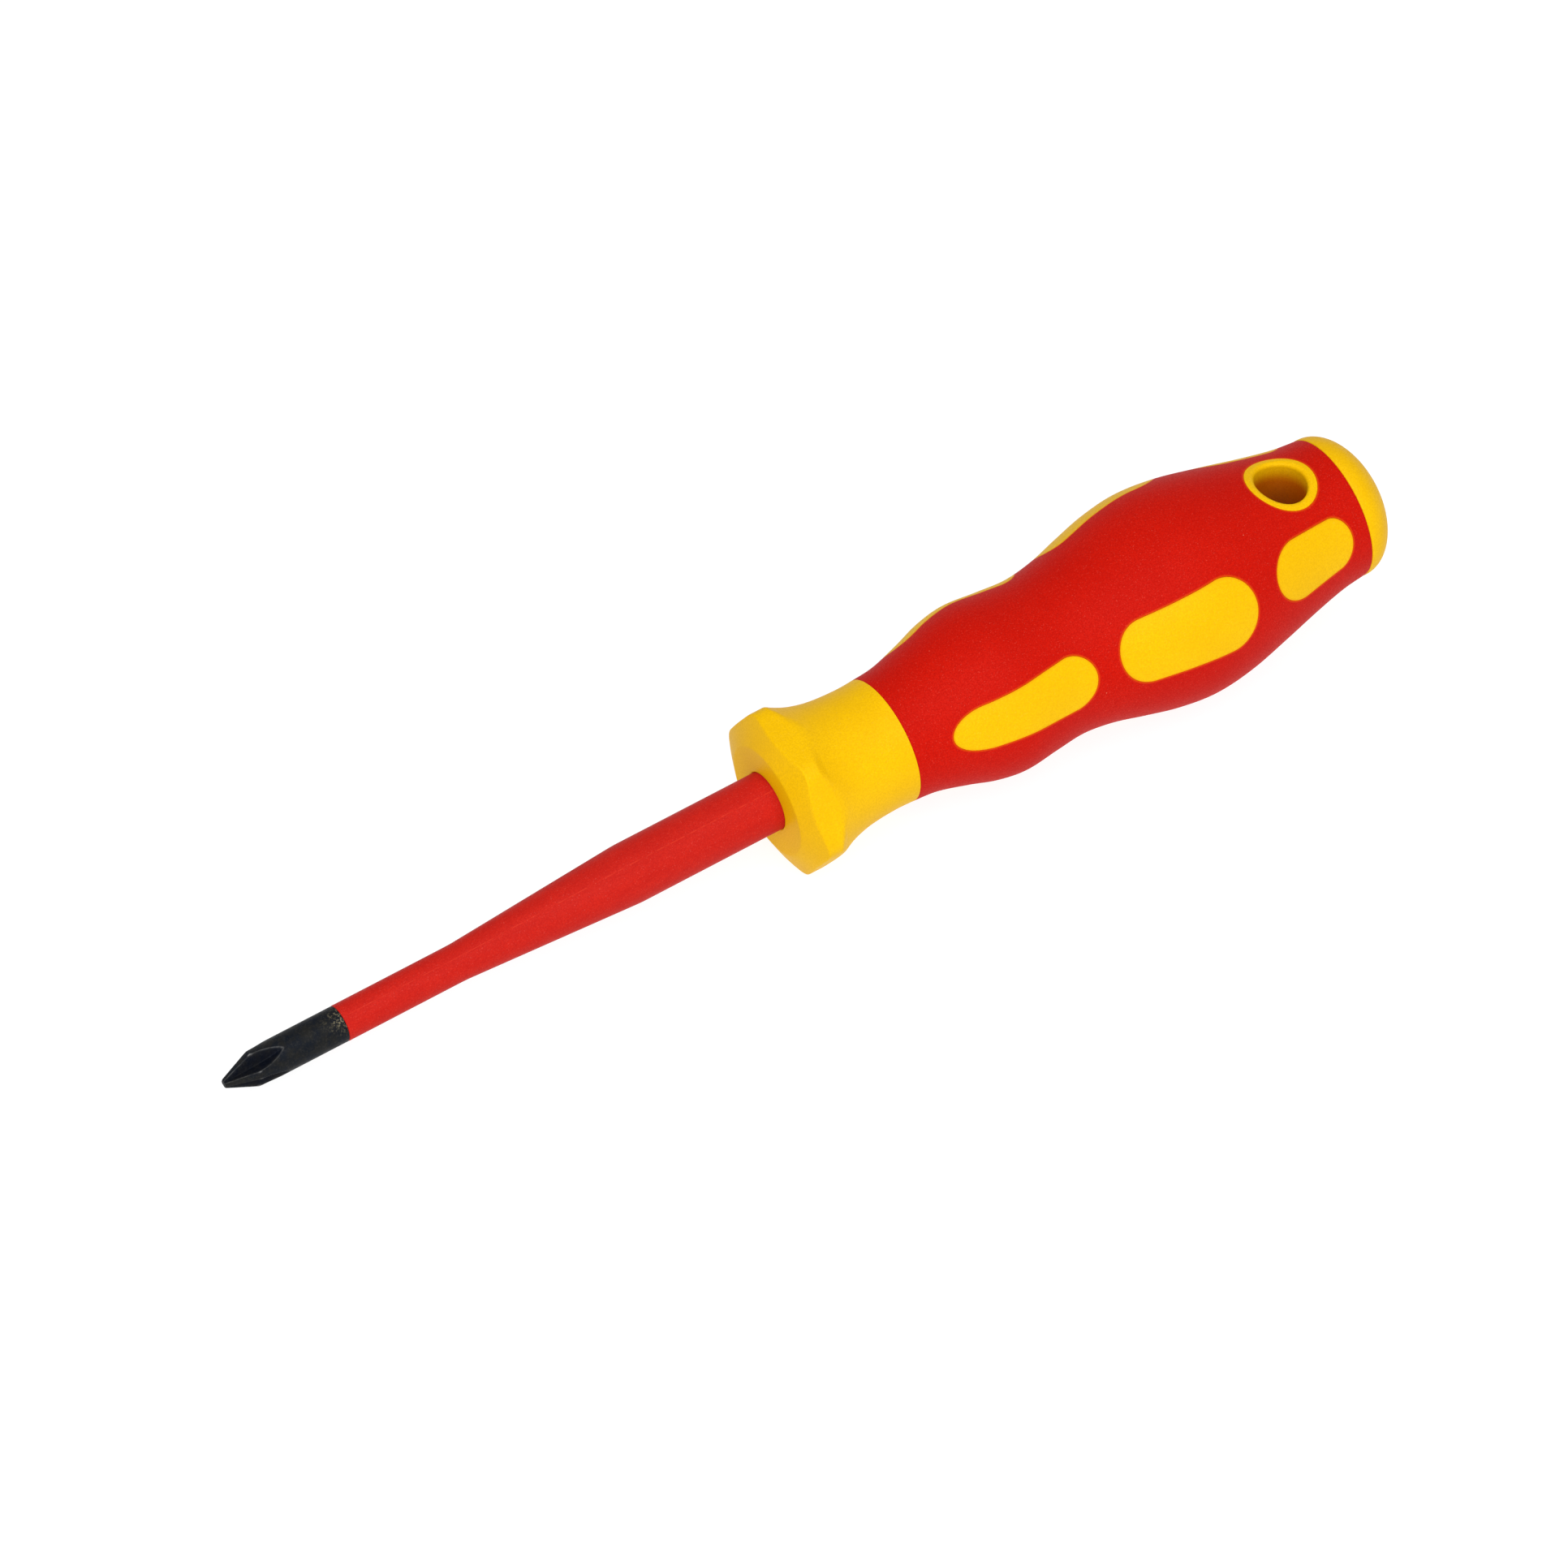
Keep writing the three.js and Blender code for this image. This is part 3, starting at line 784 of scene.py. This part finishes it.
class Nodes:
    """A material's node tree, with short ways to add to it."""

    def __init__(self, name):
        self.material = bpy.data.materials.new(name)
        self.material.use_nodes = True
        self.tree = self.material.node_tree
        self.shader = self.tree.nodes["Principled BSDF"]

    def link(self, source, target):
        self.tree.links.new(source, target)

    def add(self, kind, **values):
        node = self.tree.nodes.new(kind)
        for key, value in values.items():
            setattr(node, key, value)
        return node

    def position(self, scale=(1, 1, 1)):
        where = self.add("ShaderNodeTexCoord").outputs["Object"]
        mapping = self.add("ShaderNodeMapping")
        mapping.inputs["Scale"].default_value = scale
        self.link(where, mapping.inputs["Vector"])
        return mapping.outputs["Vector"]

    def noise(self, vector, scale, detail=3.0, roughness=0.5):
        node = self.add("ShaderNodeTexNoise")
        node.inputs["Scale"].default_value = scale
        node.inputs["Detail"].default_value = detail
        node.inputs["Roughness"].default_value = roughness
        self.link(vector, node.inputs["Vector"])
        return node.outputs["Fac"]

    def ramp(self, value, low, high, to_low=0.0, to_high=1.0):
        node = self.add("ShaderNodeMapRange", clamp=True, interpolation_type="SMOOTHSTEP")
        limits = {"From Min": low, "From Max": high, "To Min": to_low, "To Max": to_high}
        for key, number in limits.items():
            node.inputs[key].default_value = number
        self.link(value, node.inputs["Value"])
        return node.outputs["Result"]

    def mix(self, share, low, high, blend="MIX"):
        """A mix of two colours, each given as a colour or as a socket."""
        node = self.add("ShaderNodeMix", data_type="RGBA", blend_type=blend)
        for key, value in ((0, share), (6, low), (7, high)):
            if isinstance(value, bpy.types.NodeSocket):
                self.link(value, node.inputs[key])
            elif key == 0:
                node.inputs[0].default_value = value
            else:
                node.inputs[key].default_value = (*value, 1)
        return node.outputs[2]

    def maths(self, operation, *values):
        node = self.add("ShaderNodeMath", operation=operation)
        for socket, value in zip(node.inputs, values):
            if isinstance(value, bpy.types.NodeSocket):
                self.link(value, socket)
            else:
                socket.default_value = value
        return node.outputs[0]

    def product(self, a, b):
        return self.maths("MULTIPLY", a, b)

    def line(self, angle, width):
        """A line along the tool at an angle round its axis, both in radians."""
        parts = self.add("ShaderNodeSeparateXYZ")
        self.link(self.add("ShaderNodeTexCoord").outputs["Object"], parts.inputs["Vector"])
        across = self.product(parts.outputs["Y"], -1.0)
        around = self.maths("ARCTAN2", across, parts.outputs["Z"])
        off = self.maths("ABSOLUTE", self.maths("SUBTRACT", around, angle))
        return self.ramp(off, 0.0, width, 1.0, 0.0)

    def bump(self, height, strength, distance, after=None):
        node = self.add("ShaderNodeBump")
        node.inputs["Strength"].default_value = strength
        node.inputs["Distance"].default_value = distance
        self.link(height, node.inputs["Height"])
        if after is not None:
            self.link(after, node.inputs["Normal"])
        return node.outputs["Normal"]

    def dots(self, vector, scale, size, rarity):
        """Small round dots, one in each cell of a grid whose random number is over rarity."""
        node = self.add("ShaderNodeTexVoronoi")
        node.inputs["Scale"].default_value = scale
        self.link(vector, node.inputs["Vector"])
        chosen = self.add("ShaderNodeSeparateColor")
        self.link(node.outputs["Color"], chosen.inputs["Color"])
        picked = self.ramp(chosen.outputs["Red"], rarity, rarity + 0.01)
        return self.product(self.ramp(node.outputs["Distance"], size, 0.5 * size), picked)

    def attribute(self, name):
        return self.add("ShaderNodeAttribute", attribute_name=name).outputs["Fac"]

    def finish(self, color, roughness, normal, **uniform):
        self.link(color, self.shader.inputs["Base Color"])
        self.link(roughness, self.shader.inputs["Roughness"])
        self.link(normal, self.shader.inputs["Normal"])
        for key, value in uniform.items():
            self.shader.inputs[key.replace("_", " ")].default_value = value
        return self.material


def srgb(red, green, blue):
    """A colour given as on a screen, 0 to 255, as the shader's linear numbers."""
    def linear(v):
        v /= 255
        return v / 12.92 if v <= 0.04045 else ((v + 0.055) / 1.055) ** 2.4
    return (linear(red), linear(green), linear(blue))


def grip_material():
    n = Nodes("red_grip")
    where = n.position()
    broad = n.noise(where, 90, 3)
    grain = n.noise(where, 5200, 2)
    color = n.mix(n.ramp(broad, 0.3, 0.7), srgb(199, 21, 5), srgb(193, 18, 4))
    color = n.mix(n.ramp(grain, 0.35, 0.65, 0.0, 0.8), color, srgb(178, 13, 3))
    glints = n.ramp(n.noise(where, 6500, 1), 0.62, 0.78, 0.0, 0.3)
    color = n.mix(glints, color, srgb(222, 96, 80))
    color = n.mix(n.dots(where, 330, 0.03, 0.9), color, srgb(225, 120, 95))
    rim = n.ramp(n.attribute("rim"), 0.2, 1.0)
    color = n.mix(n.product(rim, 0.7), color, srgb(214, 80, 2))
    normal = n.bump(grain, 0.5, 0.00004)
    return n.finish(color, n.ramp(grain, 0.3, 0.7, 0.5, 0.62), normal, Specular_IOR_Level=0.045)


def yellow_material():
    n = Nodes("yellow_plastic")
    where = n.position()
    broad = n.noise(where, 110, 3)
    grain = n.noise(where, 4600, 2)
    color = n.mix(n.ramp(broad, 0.3, 0.7), srgb(238, 187, 3), srgb(233, 181, 3))
    color = n.mix(n.ramp(grain, 0.35, 0.65, 0.0, 0.6), color, srgb(220, 167, 2))
    glints = n.ramp(n.noise(where, 6500, 1), 0.62, 0.78, 0.0, 0.3)
    color = n.mix(glints, color, srgb(245, 205, 70))
    color = n.mix(n.dots(where, 260, 0.03, 0.93), color, srgb(90, 60, 10))
    rim = n.ramp(n.attribute("rim"), 0.1, 1.0)
    color = n.mix(n.product(rim, 0.5), color, srgb(226, 140, 4))
    # painted shade: inside the bush's bore the yellow is darkened and browned the deeper a point
    # lies below the handle's surface
    inside = n.ramp(n.attribute("depth"), 0.1, 2.9)
    color = n.mix(inside, color, n.mix(1.0, color, srgb(212, 146, 50), blend="MULTIPLY"))
    normal = n.bump(grain, 0.45, 0.00004)
    return n.finish(color, n.ramp(grain, 0.3, 0.7, 0.42, 0.52), normal, Specular_IOR_Level=0.045)


def sleeve_material():
    n = Nodes("red_sleeve")
    where = n.position()
    streaks = n.noise(n.position((0.12, 1, 1)), 900, 4, 0.6)
    mottle = n.noise(where, 800, 4, 0.6)
    grain = n.noise(where, 5200, 2)
    color = n.mix(n.ramp(streaks, 0.35, 0.7), srgb(197, 34, 23), srgb(191, 31, 21))
    color = n.mix(n.ramp(mottle, 0.4, 0.7, 0.0, 0.6), color, srgb(186, 28, 21))
    color = n.mix(n.ramp(grain, 0.35, 0.65, 0.0, 0.6), color, srgb(175, 23, 17))
    glints = n.ramp(n.noise(where, 6500, 1), 0.62, 0.78, 0.0, 0.25)
    color = n.mix(glints, color, srgb(225, 105, 95))
    color = n.mix(n.dots(where, 420, 0.06, 0.86), color, srgb(130, 18, 14))
    mould_line = n.product(n.line(math.radians(21), 0.03), n.ramp(mottle, 0.4, 0.6, 0.0, 0.4))
    color = n.mix(mould_line, color, srgb(224, 66, 42))
    normal = n.bump(streaks, 0.25, 0.00005)
    normal = n.bump(grain, 0.4, 0.00004, normal)
    return n.finish(color, n.ramp(streaks, 0.3, 0.7, 0.48, 0.6), normal, Specular_IOR_Level=0.06)


def steel_material():
    n = Nodes("black_steel")
    where = n.position()
    blotches = n.noise(where, 700, 4, 0.6)
    scuffs = n.noise(n.position((0.3, 1, 1)), 2400, 4, 0.65)
    flecks = n.ramp(n.noise(where, 3600, 3, 0.7), 0.5, 0.66)
    color = n.mix(n.ramp(blotches, 0.35, 0.7), srgb(17, 22, 30), srgb(31, 31, 30))
    color = n.mix(n.product(flecks, 0.13), color, srgb(80, 77, 70))
    shaded = n.mix(1.0, color, srgb(198, 203, 230), blend="MULTIPLY")
    color = n.mix(n.attribute("fluted"), color, shaded)
    rubbed = n.product(n.attribute("rubbed"), flecks)
    color = n.mix(n.product(rubbed, 0.85), color, srgb(140, 130, 102))
    wear = n.product(n.attribute("wear"), n.ramp(scuffs, 0.42, 0.62, 0.3, 1.0))
    color = n.mix(wear, color, srgb(172, 170, 168))
    normal = n.bump(scuffs, 0.35, 0.00003)
    return n.finish(color, n.ramp(scuffs, 0.3, 0.7, 0.4, 0.55), normal,
                    Metallic=0.1, Specular_IOR_Level=0.06)


# ------------------------------------------------------------------ floor, light and camera


def area_light(name, size, power, where, aim):
    """A round area light at a place, aimed at another."""
    light = bpy.data.lights.new(name, "AREA")
    light.shape, light.size, light.energy = "DISK", size, power
    lamp = bpy.data.objects.new(name, light)
    lamp.location = where
    lamp.rotation_euler = (Vector(aim) - Vector(where)).to_track_quat("-Z", "Y").to_euler()
    bpy.context.collection.objects.link(lamp)


def make_floor():
    """A pale floor that the tool lies on: it touches the collar's lowest flat where the
    chamfer meets it, and the palm swell."""
    share = (COLLAR_APOTHEM - COLLAR_FACE_RADIUS) / (COLLAR_CORNER_RADIUS - COLLAR_FACE_RADIUS)
    front = COLLAR_CHAMFER * share
    slope = max((handle_radius(s) - COLLAR_APOTHEM) / (s - front) for s in spaced(*SWELL, NECK_STEP))
    mesh = bpy.data.meshes.new("floor")
    half, gap = 3.0, 0.05  # half the floor's side in metres, its clearance in millimetres
    mesh.from_pydata([(-half, -half, 0), (half, -half, 0), (half, half, 0), (-half, half, 0)],
                     [], [(0, 1, 2, 3)])
    floor = bpy.data.objects.new("floor", mesh)
    floor.rotation_euler = (0, math.atan(slope), 0)
    floor.location = Vector((COLLAR_X + front, 0, -COLLAR_APOTHEM - gap)) * MM
    n = Nodes("pale_floor")
    mottle = n.ramp(n.noise(n.position(), 12, 2), 0.3, 0.7)
    tone = n.mix(mottle, (0.2, 0.2, 0.2), (0.22, 0.22, 0.22))
    n.link(tone, n.shader.inputs["Base Color"])
    n.shader.inputs["Roughness"].default_value = 0.9
    n.shader.inputs["Specular IOR Level"].default_value = 0.0
    n.shader.inputs["Emission Color"].default_value = (1, 1, 1, 1)
    n.shader.inputs["Emission Strength"].default_value = 0.87
    mesh.materials.append(n.material)
    bpy.context.collection.objects.link(floor)


def make_light():
    """Even white surroundings, and one large soft light above, on the camera's side."""
    world = bpy.data.worlds.new("studio")
    bpy.context.scene.world = world
    world.use_nodes = True
    background = world.node_tree.nodes["Background"]
    background.inputs["Color"].default_value = (1, 1, 1, 1)
    background.inputs["Strength"].default_value = 0.46
    area_light("key", 2.0, 26.9, (-0.19, -0.68, 1.31), (0.09, 0, 0))


def make_camera():
    """A long lens that looks down at the tool from the -Y side and from beyond its tip."""
    camera = bpy.data.cameras.new("camera")
    camera.sensor_width = 36.0
    camera.lens = 260.87
    camera.clip_start, camera.clip_end = 0.05, 20.0
    holder = bpy.data.objects.new("camera", camera)
    azimuth, elevation, roll = math.radians(33.21), math.radians(51.66), math.radians(-0.313)
    distance, aim = 1.42463, Vector((0.083244, 0.001102, 0))
    back = Vector((-math.sin(azimuth) * math.cos(elevation),
                   -math.cos(azimuth) * math.cos(elevation), math.sin(elevation)))
    turn = (-back).to_track_quat("-Z", "Y").to_matrix() @ Matrix.Rotation(roll, 3, "Z")
    holder.matrix_world = Matrix.Translation(aim + back * distance) @ turn.to_4x4()
    bpy.context.collection.objects.link(holder)
    bpy.context.scene.camera = holder


make_camera()
yellow = yellow_material()
make_blade(steel_material())
make_sleeve(sleeve_material())
make_core(yellow)
make_grip(grip_material())
make_inlays(yellow)
make_bush(yellow)
make_cap(yellow)
make_floor()
make_light()
bpy.context.scene.view_settings.view_transform = "Standard"
